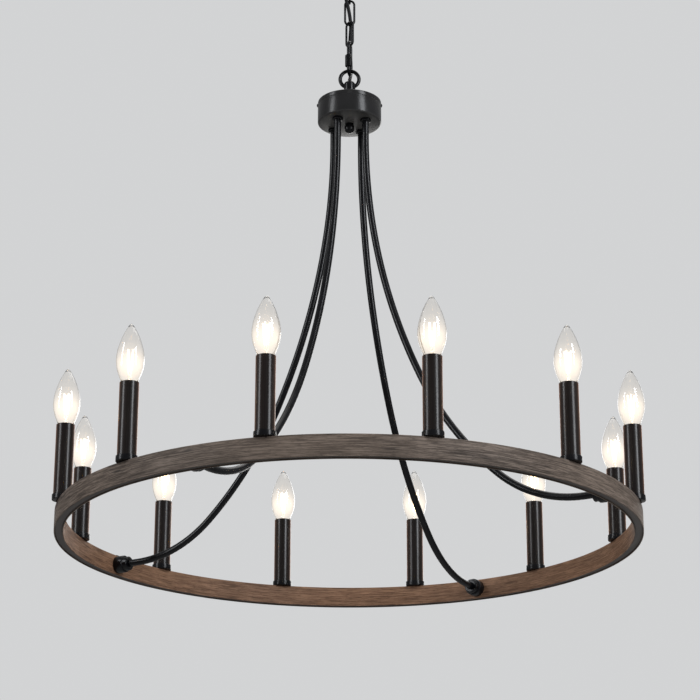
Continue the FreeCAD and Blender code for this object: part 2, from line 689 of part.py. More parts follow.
def power_cord():
    """From the nipple's top through the rings and links into the hub's stem."""
    corners = [
        V(0, 0, -THREAD_GAP), V(0, 0, TOP_LOOP_CENTRE + 6),
        V(-2.2, -1.7, TOP_LOOP_CENTRE - 4), V(-7.5, -7.9, LINK_1_TOP - 5),
        V(-7.7, -8.7, LINK_1_TOP - 21), V(-5.2, -6.0, LINK_1_BOTTOM + 2),
        V(-2.0, -1.8, LINK_2_TOP - 13), V(0.6, 2.6, LINK_2_TOP - 26),
        V(1.9, 6.4, LINK_2_BOTTOM), V(0.4, 8.4, LINK_3_TOP - 17),
        V(-1.8, 9.6, LINK_3_BOTTOM + 11), V(-3.4, 11.3, LINK_3_BOTTOM - 1),
        V(0.5, 17.7, QUICK_BOTTOM + 31), V(10.5, 19.8, QUICK_BOTTOM + 17),
        V(13.9, 12.7, QUICK_BOTTOM + 6), V(3.7, 0.9, HUB_LOOP_CENTRE + 5),
        V(0, 0, HUB_LOOP_CENTRE - 6), V(0, 0, HUB_BOTTOM + HUB_FLOOR + 12)]
    runs = [(after - before).Length for before, after in zip(corners, corners[1:])]
    lengths = [CORD_REACH * min(before, after) for before, after in zip(runs, runs[1:])]
    radii = [bend_radius(*turn) for turn in zip(corners, corners[1:], corners[2:], lengths)]
    path = arc_path(corners, lengths)
    cord = swept(path, CORD_RADIUS, CORD_SIDES)
    print("cord: length %.1f mm, smallest radius %.1f mm" % (path.Length, min(radii)))
    print("cord: radii " + ", ".join("%.0f" % radius for radius in radii))
    print("cord: volume over section times length %.4f" % volume_share(cord, path, CORD_RADIUS, CORD_SIDES))
    return cord


# ---------------------------------------------------------------- parts are written

def write(name, shape):
    shape.exportStep("parts/" + name + ".step")


os.makedirs("parts", exist_ok=True)
write("canopy", canopy())
write("crossbar", crossbar())
write("ground_screw", ground_screw())
write("canopy_nipple", stem(CANOPY_BOTTOM - STEM_NUT_HEIGHT - STEM_GRIP, -THREAD_GAP))
write("crossbar_nut", stem_nut(-CROSSBAR_THICKNESS - STEM_NUT_HEIGHT))
write("canopy_nut", stem_nut(CANOPY_BOTTOM - STEM_NUT_HEIGHT))
write("canopy_loop", canopy_loop())

for number, top in enumerate((LINK_1_TOP, LINK_2_TOP, LINK_3_TOP)):
    write("chain_link_%d" % (number + 1), chain_link(top, LINK_PLAN_ANGLES[number]))
write("quick_link", quick_link())
write("quick_link_nut", quick_link_nut())

write("hub_loop", hub_loop())
write("hub_lock_nut", stem_nut(LID_TOP_FACE))
write("hub_lid", hub_lid())
write("hub_inner_nut", stem_nut(LID_TOP_FACE - LID_TOP - STEM_NUT_HEIGHT))
write("hub_body", hub_body())
write("hub_side_screws", side_screws())
write("hub_stem", hub_stem())
write("hub_finial", finial())

write("arm_nuts_lower", arm_nuts(HUB_BOTTOM - ARM_NUT_HEIGHT))
write("arm_nuts_upper", arm_nuts(HUB_BOTTOM + HUB_FLOOR))
for name, angle in zip(ARM_NAMES, ARM_ANGLES):
    write("arm_" + name, arm(angle))
write("arm_bushes", Part.makeCompound([arm_bush(angle) for angle in ARM_ANGLES]))

write("rim_channel", rim_channel())
write("rim_cover", rim_cover())
write("splice_strap", splice_strap())
write("light_cups", around_rim(light_cup()))
write("candle_sleeves", around_rim(candle_sleeve()))
write("sockets", around_rim(socket()))
write("bulbs", around_rim(bulb()))
write("power_cord", power_cord())
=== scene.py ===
import bmesh
import bpy
import json
import math
from mathutils import Matrix, Vector


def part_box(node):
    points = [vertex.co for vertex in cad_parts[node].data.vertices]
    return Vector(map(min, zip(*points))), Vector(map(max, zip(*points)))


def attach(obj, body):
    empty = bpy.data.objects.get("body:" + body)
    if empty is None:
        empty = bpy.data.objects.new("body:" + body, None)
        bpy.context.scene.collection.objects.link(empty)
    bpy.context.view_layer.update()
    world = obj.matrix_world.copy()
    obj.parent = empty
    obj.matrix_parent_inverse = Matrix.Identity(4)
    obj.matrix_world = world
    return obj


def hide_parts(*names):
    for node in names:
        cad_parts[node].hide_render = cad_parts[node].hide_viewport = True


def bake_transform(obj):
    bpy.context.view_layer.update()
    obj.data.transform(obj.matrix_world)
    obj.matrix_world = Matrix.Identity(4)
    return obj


# Wagon wheel chandelier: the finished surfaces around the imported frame. Metres, +Z up, with the
# origin on the ceiling. Plan angles are counted from the front (-Y) towards the right (+X).

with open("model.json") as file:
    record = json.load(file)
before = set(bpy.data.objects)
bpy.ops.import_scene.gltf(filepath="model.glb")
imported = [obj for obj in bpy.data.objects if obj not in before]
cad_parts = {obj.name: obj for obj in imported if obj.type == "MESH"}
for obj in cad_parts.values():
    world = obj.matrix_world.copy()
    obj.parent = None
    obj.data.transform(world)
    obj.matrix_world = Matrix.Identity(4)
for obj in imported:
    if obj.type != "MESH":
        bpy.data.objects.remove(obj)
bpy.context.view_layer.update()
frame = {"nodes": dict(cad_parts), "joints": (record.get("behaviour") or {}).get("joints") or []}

MM = 0.001
UP = Vector((0, 0, 1))
RIGHT = Vector((1, 0, 0))
BACK = Vector((0, 1, 0))

# ---------------------------------------------------------------- sizes from the frame

RIM_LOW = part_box("rim_channel")[0].z
RIM_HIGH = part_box("rim_channel")[1].z
RIM_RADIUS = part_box("rim_channel")[1].x
HUB_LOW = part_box("hub_body")[0].z
HUB_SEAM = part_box("hub_lid")[0].z
LID_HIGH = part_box("hub_lid")[1].z
HUB_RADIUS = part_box("hub_body")[1].x
CANOPY_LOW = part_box("canopy")[0].z
CANOPY_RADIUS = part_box("canopy")[1].x
SLEEVE_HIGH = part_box("candle_sleeves")[1].z
CUP_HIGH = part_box("light_cups")[1].z

# ---------------------------------------------------------------- sizes of single pieces

RIM_WIDTH = 12.7 * MM
RIM_WALL = 1.4 * MM
COVER_GAP = 0.15 * MM
RIM_INSIDE = RIM_RADIUS - RIM_WIDTH
RIM_MIDDLE = RIM_RADIUS - RIM_WIDTH / 2
SPLICE_ANGLE = -122
STRAP_HALF_WIDTH = 4.5 * MM
STRAP_HALF_LENGTH = 13.5 * MM
STRAP_THICKNESS = 1.6 * MM
# Sets the grain of the outer wall apart from that of the inner one.
GRAIN_STEP = 1.31
LIGHT_ANGLES = [15 + 30 * k for k in range(12)]
CUP_RADIUS = 13.9 * MM
CUP_WALL = 1.2 * MM
SLEEVE_RADIUS = 12.4 * MM
SLEEVE_WALL = 1.2 * MM
SOCKET_RADIUS = 9.8 * MM
SOCKET_DROP = 3.0 * MM
SOCKET_BORE = 6.6 * MM
SOCKET_BORE_DEPTH = 21.0 * MM
CAP_RADIUS = 6.0 * MM
CAP_LENGTH = 20.0 * MM
CAP_RIM_RADIUS = 9.0 * MM
CAP_DROP = 1.2 * MM
THREAD_DEPTH = 0.45 * MM
THREAD_STEP = 1.3 * MM
BULB_TURN = 1.9
FILAMENT_RADIUS = 0.85 * MM
FILAMENT_FOOT = (1.6 * MM, 16 * MM)
FILAMENT_HEAD = (4.4 * MM, 44 * MM)
NECK_RADIUS = 8.6 * MM
GLASS_WALL = 0.6 * MM
# Radius of the glass at heights above the sleeve, in millimetres.
GLASS_OUTLINE = ((9.2, -1.5), (11.6, 4.0), (14.4, 11.0), (16.9, 19.5), (17.9, 28.0), (17.6, 36.0),
                 (16.3, 44.0), (14.1, 52.0), (11.4, 60.0), (8.4, 66.5), (5.4, 72.5), (2.9, 76.4),
                 (1.3, 78.1))
GLASS_TIP = 78.35 * MM
GLASS_TIP_INSIDE = 76.6 * MM
HUB_ROUNDING = 2.8 * MM
HUB_WALL = 3.2 * MM
HUB_FLOOR = 2.5 * MM
HUB_LIP_STEP = 1.7 * MM
HUB_LIP_HEIGHT = 3.9 * MM
SEAM_GAP = 0.1 * MM
LID_WALL = 1.5 * MM
LID_THICKNESS = 2.0 * MM
LID_ROUNDING = 0.9 * MM
SCREW_RADIUS = 1.2 * MM
SCREW_LENGTH = 5.0 * MM
SCREW_HEAD_RADIUS = 2.6 * MM
SCREW_RISE = 2.15 * MM
# Radius of the ball under the hub, in millimetres, at shares of its height from the top down.
BALL_OUTLINE = ((6.2, 0), (6.2, 0.1), (7.0, 0.24), (7.35, 0.42), (7.1, 0.6), (6.2, 0.77), (4.5, 0.9),
                (2.4, 0.975), (0, 1))
CANOPY_WALL = 1.2 * MM
CANOPY_ROUNDING = 11.0 * MM
STEM_RADIUS = 4.9 * MM
STEM_BORE = 3.6 * MM
NUT_HEIGHT = 4.5 * MM
STEM_NUT_ACROSS = 16.0 * MM
ARM_NUT_ACROSS = 14.0 * MM
LOOP_RADIUS = 13.6 * MM
LOOP_WIRE = 2.7 * MM
LOOP_RISE = 4.1 * MM
COLLAR_RADIUS = 8.35 * MM
COLLAR_LENGTH = 29.2 * MM
LINK_WIRE = 1.6 * MM
LINK_WIDTH = 16.7 * MM
LINK_ANGLES = {"chain_link_1": 90, "chain_link_2": 0, "chain_link_3": 135}
QUICK_WIRE = 2.5 * MM
QUICK_WIDTH = 20.0 * MM
QUICK_ANGLE = 78
QUICK_NUT_ACROSS = 9.0 * MM
ARM_ANGLES = {"arm_front_left": -30, "arm_front_right": 60, "arm_back_right": 150, "arm_back_left": -120}
ARM_HUB_TURN = -6.5
ARM_HUB_RADIUS = 28.5 * MM
ARM_RADIUS = 4.85 * MM
ARM_RIM_HEIGHT = 14.5 * MM
ARM_TOP = 9.0 * MM
SHOULDER_DROP = 229.0 * MM
KNEE_IN = 223.8 * MM
KNEE_UP = 109.1 * MM
FOOT_IN = 102.7 * MM
SHOULDER_SHARE = 0.6825
KNEE_SHARE = 0.579
ARM_END_GAP = 0.25 * MM
BUSH_RADIUS = 12.2 * MM
BUSH_LENGTH = 14.0 * MM
BUSH_NOSE_RADIUS = 10.0 * MM
BUSH_NOSE_LENGTH = 7.0 * MM
CORD_RADIUS = 2.6 * MM

# ---------------------------------------------------------------- camera

FRAME_PIXELS = 700
FOCAL_PIXELS = 2220.1
SENSOR = 36.0
CAMERA_DISTANCE = 2.9057
CAMERA_BELOW_RIM = 0.7638
CAMERA_PITCH = 19.65
CAMERA_ROLL = 0.10
AXIS_SHIFT_PIXELS = 0.9


def set_camera():
    lens = bpy.data.cameras.new("camera")
    lens.sensor_width = SENSOR
    lens.lens = FOCAL_PIXELS / FRAME_PIXELS * SENSOR
    lens.shift_x = AXIS_SHIFT_PIXELS / FRAME_PIXELS
    camera = bpy.data.objects.new("camera", lens)
    place = Matrix.Translation((0, -CAMERA_DISTANCE, RIM_LOW - CAMERA_BELOW_RIM))
    pitch = Matrix.Rotation(math.radians(90 + CAMERA_PITCH), 4, "X")
    camera.matrix_world = place @ pitch @ Matrix.Rotation(math.radians(CAMERA_ROLL), 4, "Z")
    bpy.context.scene.collection.objects.link(camera)
    bpy.context.scene.camera = camera


# ---------------------------------------------------------------- building finishes

def finish(name, colour, roughness, metallic=0.0, **uniform):
    """A new material with its plain numbers on the shader; returns the material and its shader."""
    material = bpy.data.materials.new(name)
    material.use_nodes = True
    shader = material.node_tree.nodes["Principled BSDF"]
    shader.inputs["Base Color"].default_value = (*colour, 1)
    shader.inputs["Roughness"].default_value = roughness
    shader.inputs["Metallic"].default_value = metallic
    for socket, value in uniform.items():
        shader.inputs[socket.replace("_", " ")].default_value = value
    return material, shader


def node(material, kind, inputs=None, **settings):
    """A new node; an input given as a socket is linked, and any other value is set."""
    made = material.node_tree.nodes.new("ShaderNode" + kind)
    for name, value in settings.items():
        setattr(made, name, value)
    for socket, value in (inputs or {}).items():
        if isinstance(value, bpy.types.NodeSocket):
            material.node_tree.links.new(value, made.inputs[socket])
        else:
            made.inputs[socket].default_value = value
    return made.outputs[0]


def link(material, output, shader, socket):
    material.node_tree.links.new(output, shader.inputs[socket])


def ramp(material, factor, *stops):
    """A colour ramp with stops of (place, colour), linear between them."""
    made = material.node_tree.nodes.new("ShaderNodeValToRGB")
    material.node_tree.links.new(factor, made.inputs["Fac"])
    stretch = made.color_ramp.elements
    while len(stretch) < len(stops):
        stretch.new(0.5)
    for element, (place, colour) in zip(stretch, stops):
        element.position = place
        element.color = (*colour, 1) if isinstance(colour, tuple) else (colour, colour, colour, 1)
    return made.outputs["Color"]


def noise(material, where, scale, detail=3.0, roughness=0.55):
    return node(material, "TexNoise", {"Vector": where, "Scale": scale, "Detail": detail,
                                       "Roughness": roughness})


def stretched(material, where, scale):
    return node(material, "Mapping", {"Vector": where, "Scale": scale})


def mixed(material, factor, first, second, blend="MIX"):
    made = material.node_tree.nodes.new("ShaderNodeMix")
    made.data_type = "RGBA"
    made.blend_type = blend
    for place, value in ((0, factor), (6, first), (7, second)):
        if isinstance(value, bpy.types.NodeSocket):
            material.node_tree.links.new(value, made.inputs[place])
        else:
            made.inputs[place].default_value = (*value, 1) if isinstance(value, tuple) else value
    return made.outputs[2]


def relief(material, shader, height, distance, strength=1.0):
    bump = node(material, "Bump", {"Height": height, "Distance": distance, "Strength": strength})
    link(material, bump, shader, "Normal")


def object_place(material):
    coordinates = material.node_tree.nodes.new("ShaderNodeTexCoord")
    return coordinates.outputs["Object"]


# ---------------------------------------------------------------- finishes of this chandelier

def black_enamel(name="black_enamel", wear_and_highlight=0.0):
    """Satin black powder coat: a fine orange peel, cloudy gloss and, if asked, paler edges that are partly
    rubbed paint and partly a painted highlight along the rounded edges.
    """
    material, shader = finish(name, (0.0035, 0.0035, 0.0042), 0.34, 0.0, Specular_IOR_Level=0.2)
    where = object_place(material)
    cloud = noise(material, where, 45, 4)
    speck = noise(material, where, 1400, 2)
    colour = ramp(material, cloud, (0.3, (0.0022, 0.0022, 0.0027)), (0.7, (0.0048, 0.0048, 0.006)))
    # Paler edges by pointiness: partly rubbed paint, partly a painted highlight on the rounded edges.
    if wear_and_highlight:
        geometry = material.node_tree.nodes.new("ShaderNodeNewGeometry")
        edge = ramp(material, geometry.outputs["Pointiness"], (0.515, 0.0), (0.57, wear_and_highlight))
        colour = mixed(material, edge, colour, (0.16, 0.155, 0.15))
    link(material, colour, shader, "Base Color")
    link(material, ramp(material, cloud, (0.25, 0.19), (0.75, 0.30)), shader, "Roughness")
    relief(material, shader, speck, 0.00002, 0.2)
    return material


def sleeve_painted_warm_sheen():
    """Dark sleeve with fine upright drawing lines and a warm brown sheen that is a painted reflection of
    the lit bulbs.
    """
    # The warm brown sheen tint is a painted reflection: it stands in for warm bulb light on the sleeve
    # edges.
    material, shader = finish("sleeve_painted_warm_sheen", (0.02, 0.014, 0.011), 0.3, 0.0, Specular_IOR_Level=0.24,
                              Sheen_Weight=0.7, Sheen_Roughness=0.36,
                              Sheen_Tint=(1.0, 0.42, 0.2, 1))
    where = object_place(material)
    lines = noise(material, stretched(material, where, (900, 900, 9)), 1.0, 3)
    cloud = noise(material, where, 28, 3)
    dark = ramp(material, cloud, (0.3, (0.003, 0.0026, 0.0026)), (0.72, (0.006, 0.0048, 0.0045)))
    dark = mixed(material, 0.25, dark, ramp(material, lines, (0.3, 0.001), (0.75, 0.014)))
    link(material, dark, shader, "Base Color")
    link(material, ramp(material, lines, (0.3, 0.2), (0.7, 0.31)), shader, "Roughness")
    relief(material, shader, lines, 0.00003, 0.4)
    return material


def zinc_plate():
    material, shader = finish("zinc_plate", (0.5, 0.5, 0.48), 0.35, 1.0)
    where = object_place(material)
    spangle = node(material, "TexVoronoi", {"Vector": where, "Scale": 260})
    colour = ramp(material, spangle, (0.0, (0.42, 0.43, 0.43)), (0.9, (0.62, 0.62, 0.6)))
    link(material, colour, shader, "Base Color")
    link(material, ramp(material, noise(material, where, 120), (0.3, 0.28), (0.7, 0.46)), shader,
         "Roughness")
    return material


def green_paint():
    material, shader = finish("green_paint", (0.02, 0.22, 0.06), 0.35, 0.3)
    patches = noise(material, object_place(material), 400)
    colour = ramp(material, patches, (0.3, (0.014, 0.17, 0.045)), (0.7, (0.03, 0.27, 0.08)))
    link(material, colour, shader, "Base Color")
    return material


def weathered_oak(name, pale, middle, dark, knot_share):
    """Aged grain that runs round the rim: long streaks, short dark pores and small knots."""
    material, shader = finish(name, middle, 0.62, 0.0, Specular_IOR_Level=0.2)
    unrolled = node(material, "UVMap", uv_map="unrolled")
    broad = noise(material, stretched(material, unrolled, (7, 60, 1)), 1.0, 4, 0.6)
    streak = noise(material, stretched(material, unrolled, (24, 620, 1)), 1.0, 6, 0.72)
    pores = noise(material, stretched(material, unrolled, (80, 1100, 1)), 1.0, 3, 0.6)
    patch = noise(material, stretched(material, unrolled, (2.2, 9, 1)), 1.0, 2)
    knots = noise(material, stretched(material, unrolled, (24, 170, 1)), 1.0, 2, 0.4)
    grain = ramp(material, streak, (0.42, dark), (0.5, middle), (0.58, pale))
    grain = mixed(material, 0.3, grain, ramp(material, broad, (0.36, dark), (0.5, middle), (0.64, pale)))
    grain = mixed(material, ramp(material, pores, (0.34, 0.85), (0.45, 0.0)), grain,
                  tuple(0.4 * part for part in dark))
    grain = mixed(material, ramp(material, knots, (0.25, knot_share), (0.36, 0.0)), grain,
                  tuple(0.32 * part for part in dark))
    grain = mixed(material, ramp(material, patch, (0.35, 0.0), (0.72, 0.28)), grain,
                  tuple(min(1.0, 1.25 * part) for part in pale))
    link(material, grain, shader, "Base Color")
    link(material, ramp(material, streak, (0.3, 0.74), (0.7, 0.5)), shader, "Roughness")
    relief(material, shader, mixed(material, 0.5, streak, pores), 0.0004, 0.6)
    return material


def underside_brown():
    """Painted brown-grey strip in the rim's mouth."""
    material, shader = finish("underside_brown", (0.045, 0.036, 0.033), 0.55)
    unrolled = node(material, "UVMap", uv_map="unrolled")
    streak = noise(material, stretched(material, unrolled, (12, 330, 1)), 1.0, 4)
    colour = ramp(material, streak, (0.3, (0.036, 0.029, 0.027)), (0.7, (0.064, 0.052, 0.047)))
    link(material, colour, shader, "Base Color")
    relief(material, shader, streak, 0.0002, 0.35)
    return material


def clear_glass():
    """Clear lamp glass that glows as painted light around the filament, with painted shade along its
    grazing edges, and lets lamplight through.
    """
    material, shader = finish("clear_glass", (1.0, 0.985, 0.965), 0.0, 0.0, IOR=1.45,
                              Transmission_Weight=1.0)
    where = node(material, "SeparateXYZ", {"Vector": object_place(material)})
    height = where.node.outputs["Z"]
    low = SLEEVE_HIGH + GLASS_OUTLINE[0][1] * MM
    share = node(material, "MapRange", {"Value": height, "From Min": low,
                                        "From Max": SLEEVE_HIGH + GLASS_OUTLINE[-1][1] * MM})
    # Painted light: the glass itself glows, most low in the bulb and where it faces the view, standing in
    # for the glare around the lit filament.
    painted_glow = ramp(material, share, (0.0, 0.22), (0.2, 0.8), (0.34, 1.0), (0.5, 0.45), (0.66, 0.1), (0.9, 0.0))
    facing = material.node_tree.nodes.new("ShaderNodeLayerWeight").outputs["Facing"]
    painted_glow_core = ramp(material, facing, (0.0, 1.0), (0.3, 0.55), (0.62, 0.14), (0.9, 0.03))
    painted_glow = mixed(material, 1.0, painted_glow, painted_glow_core, "MULTIPLY")
    link(material, mixed(material, 1.0, painted_glow, (1.0, 0.80, 0.56), "MULTIPLY"), shader,
         "Emission Color")
    shader.inputs["Emission Strength"].default_value = 0.2
    # Painted shade: the glass colour darkens towards its grazing edges, standing in for dark refraction
    # outlines.
    rim = ramp(material, facing, (0.72, (1.0, 0.985, 0.965)), (0.95, (0.62, 0.55, 0.52)))
    link(material, rim, shader, "Base Color")
    light = material.node_tree.nodes.new("ShaderNodeLightPath")
    open_way = node(material, "BsdfTransparent")
    choice = material.node_tree.nodes.new("ShaderNodeMixShader")
    material.node_tree.links.new(light.outputs["Is Shadow Ray"], choice.inputs[0])
    material.node_tree.links.new(shader.outputs[0], choice.inputs[1])
    material.node_tree.links.new(open_way, choice.inputs[2])
    material.node_tree.links.new(choice.outputs[0],
                                 material.node_tree.nodes["Material Output"].inputs["Surface"])
    return material


def hot_filament():
    material, shader = finish("hot_filament", (1.0, 0.72, 0.4), 0.5, 0.0, Emission_Strength=4.0)
    where = object_place(material)
    bands = noise(material, stretched(material, where, (200, 200, 900)), 1.0, 1)
    colour = ramp(material, bands, (0.3, (1.0, 0.55, 0.22)), (0.6, (1.0, 0.80, 0.52)))
    link(material, colour, shader, "Emission Color")
    return material


def stem_glass():
    material, shader = finish("stem_glass", (0.95, 0.93, 0.9), 0.12, 0.0, Transmission_Weight=0.85,
                              IOR=1.5)
    haze = noise(material, object_place(material), 300)
    link(material, ramp(material, haze, (0.3, 0.08), (0.7, 0.2)), shader, "Roughness")
    return material


def cap_nickel():
    material, shader = finish("cap_nickel", (0.62, 0.6, 0.55), 0.25, 1.0)
    smear = noise(material, object_place(material), 350)
    link(material, ramp(material, smear, (0.3, 0.2), (0.7, 0.38)), shader, "Roughness")
    return material


def socket_moulding():
    material, shader = finish("socket_moulding", (0.03, 0.028, 0.026), 0.5)
    grain = noise(material, object_place(material), 900)
    link(material, ramp(material, grain, (0.3, (0.022, 0.02, 0.019)), (0.7, (0.04, 0.037, 0.034))),
         shader, "Base Color")
    relief(material, shader, grain, 0.00005, 0.4)
    return material


def cord_jacket():
    """Black cord with a dull, slightly uneven skin."""
    material, shader = finish("cord_jacket", (0.012, 0.012, 0.013), 0.5, 0.0, Specular_IOR_Level=0.12)
    where = object_place(material)
    smear = noise(material, where, 180)
    link(material, ramp(material, smear, (0.3, (0.008, 0.008, 0.009)), (0.7, (0.016, 0.0155, 0.017))),
         shader, "Base Color")
    link(material, ramp(material, smear, (0.3, 0.44), (0.7, 0.58)), shader, "Roughness")
    return material


# ---------------------------------------------------------------- shaping

def on_plan(radius, angle, height=0.0):
    turn = math.radians(angle)
    return Vector((radius * math.sin(turn), -radius * math.cos(turn), height))


def lathed(outline, steps=64, closed=False):
    """Spins an outline of (radius, height) or (radius, height, rounding) a full turn."""
    bm = bmesh.new()
    corners = [bm.verts.new((point[0], 0, point[1])) for point in outline]
    for pair in zip(corners, corners[1:]):
        bm.edges.new(pair)
    if closed:
        bm.edges.new((corners[-1], corners[0]))
    for corner, point in zip(corners, outline):
        if len(point) == 3:
            bmesh.ops.bevel(bm, geom=[corner], offset=point[2], offset_type="OFFSET", segments=4,
                            profile=0.5, affect="VERTICES", clamp_overlap=True, material=-1)
    bmesh.ops.spin(bm, geom=bm.verts[:] + bm.edges[:], cent=(0, 0, 0), axis=UP,
                   angle=2 * math.pi, steps=steps, use_merge=True, use_duplicate=False)
    return bm


def only_edges(geometry):
    """The edges of an operator's result that join two of its own points."""
    points = {part for part in geometry if isinstance(part, bmesh.types.BMVert)}
    return [part for part in geometry if isinstance(part, bmesh.types.BMEdge)
            and part.verts[0] in points and part.verts[1] in points]


def wire_start(bm, radius, sides, place, heading):
    turn = heading.to_track_quat("Z", "Y").to_matrix().to_4x4()
    made = bmesh.ops.create_circle(bm, cap_ends=False, radius=radius, segments=sides,
                                   matrix=Matrix.Translation(place) @ turn)
    return list({edge for corner in made["verts"] for edge in corner.link_edges})


def run_on(bm, edges, step):
    made = bmesh.ops.extrude_edge_only(bm, edges=edges)["geom"]
    points = [part for part in made if isinstance(part, bmesh.types.BMVert)]
    bmesh.ops.translate(bm, verts=points, vec=step)
    return only_edges(made)


def bend_on(bm, edges, centre, axis, angle, steps):
    made = bmesh.ops.spin(bm, geom=edges, cent=centre, axis=axis, angle=angle, steps=steps,
                          use_merge=False, use_duplicate=False)
    return only_edges(made["geom_last"])


def copied(bm, places):
    """The shape of bm at each place of a list of matrices, as one bmesh."""
    many = bmesh.new()
    shape = bpy.data.meshes.new("shape")
    bm.to_mesh(shape)
    bm.free()
    for place in places:
        before = set(many.verts)
        many.from_mesh(shape)
        fresh = [corner for corner in many.verts if corner not in before]
        bmesh.ops.transform(many, matrix=place, verts=fresh)
    bpy.data.meshes.remove(shape)
    return many


def softened(bm, width, segments=2, above=40):
    """Rounds the edges that turn by more than an angle in degrees."""
    sharp = [edge for edge in bm.edges if len(edge.link_faces) == 2
             and edge.calc_face_angle() > math.radians(above)]
    bmesh.ops.bevel(bm, geom=sharp, offset=width, offset_type="OFFSET", segments=segments,
                    profile=0.5, affect="EDGES", clamp_overlap=True, material=-1)


def piece(name, bm, material, slot, body, *nodes, crease=35):
    """A finished piece from a bmesh, on its body and in the place of its CAD nodes."""
    bmesh.ops.remove_doubles(bm, verts=bm.verts, dist=1e-6)
    bmesh.ops.recalc_face_normals(bm, faces=bm.faces)
    mesh = bpy.data.meshes.new(name)
    bm.to_mesh(mesh)
    bm.free()
    mesh.shade_smooth()
    mesh.set_sharp_from_angle(angle=math.radians(crease))
    mesh.materials.append(material)
    made = bpy.data.objects.new(name, mesh)
    bpy.context.scene.collection.objects.link(made)
    if body:
        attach(made, body)
    if nodes:
        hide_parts(*nodes)
    return made


def unroll(thing):
    """A UV map in metres: along the rim's turn from its splice, and across the section."""
    mesh = thing.data
    layer = mesh.uv_layers.new(name="unrolled")
    seam = math.radians(SPLICE_ANGLE)
    for face in mesh.polygons:
        middle = math.atan2(face.center.x, -face.center.y)
        for corner in face.loop_indices:
            spot = mesh.vertices[mesh.loops[corner].vertex_index].co
            turn = math.atan2(spot.x, -spot.y)
            turn = middle + (turn - middle + math.pi) % (2 * math.pi) - math.pi
            around = (turn - seam) if middle >= seam else (turn - seam + 2 * math.pi)
            out = math.hypot(spot.x, spot.y)
            across = (spot.z - RIM_LOW) + (out - RIM_INSIDE) * GRAIN_STEP
            layer.data[corner].uv = (around * RIM_RADIUS, across)


# ---------------------------------------------------------------- wheel

def make_rim(oak_outside, oak_inside, brown, enamel):
    low, high = RIM_LOW, RIM_HIGH
    outer, inner = RIM_RADIUS - RIM_WALL, RIM_INSIDE + RIM_WALL
    ceiling = high - RIM_WALL
    bm = lathed([(RIM_RADIUS, low, 0.0004), (RIM_RADIUS, high, 0.0007), (RIM_INSIDE, high, 0.0007),
                 (RIM_INSIDE, low, 0.0004), (inner, low), (inner, ceiling), (outer, ceiling),
                 (outer, low)], 240, closed=True)
    rim = piece("wheel_rim", bm, oak_outside, "weathered_wood", "chandelier", "rim_channel")
    rim.data.materials.append(oak_inside)
    for face in rim.data.polygons:
        inward = Vector((face.center.x, face.center.y, 0)).dot(face.normal) < 0
        if inward and math.hypot(face.center.x, face.center.y) < inner:
            face.material_index = 1
    unroll(rim)
    gap = COVER_GAP
    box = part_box("rim_cover")
    bm = lathed([(outer - gap, box[0].z, 0.0003), (outer - gap, box[1].z), (inner + gap, box[1].z),
                 (inner + gap, box[0].z, 0.0003)], 240, closed=True)
    unroll(piece("rim_bottom_cover", bm, brown, "rim_underside", "chandelier", "rim_cover"))
    near, far, top = RIM_MIDDLE - STRAP_HALF_WIDTH, RIM_MIDDLE + STRAP_HALF_WIDTH, high + STRAP_THICKNESS
    strap = lathed([(far, high), (far, top), (near, top), (near, high)], 360, closed=True)
    for side in (-1, 1):
        end = SPLICE_ANGLE + side * math.degrees(STRAP_HALF_LENGTH / RIM_MIDDLE)
        bmesh.ops.bisect_plane(strap, geom=strap.verts[:] + strap.edges[:] + strap.faces[:],
                               plane_co=on_plan(RIM_MIDDLE, end), plane_no=on_plan(side, end + 90),
                               clear_outer=True)
    opposite = [corner for corner in strap.verts if corner.co.dot(on_plan(1, SPLICE_ANGLE)) < 0]
    bmesh.ops.delete(strap, geom=opposite, context="VERTS")
    bmesh.ops.holes_fill(strap, edges=[edge for edge in strap.edges if edge.is_boundary], sides=0)
    softened(strap, 0.4 * MM)
    piece("rim_splice_strap", strap, enamel, "black_metal", "chandelier", "splice_strap")


# ---------------------------------------------------------------- lights

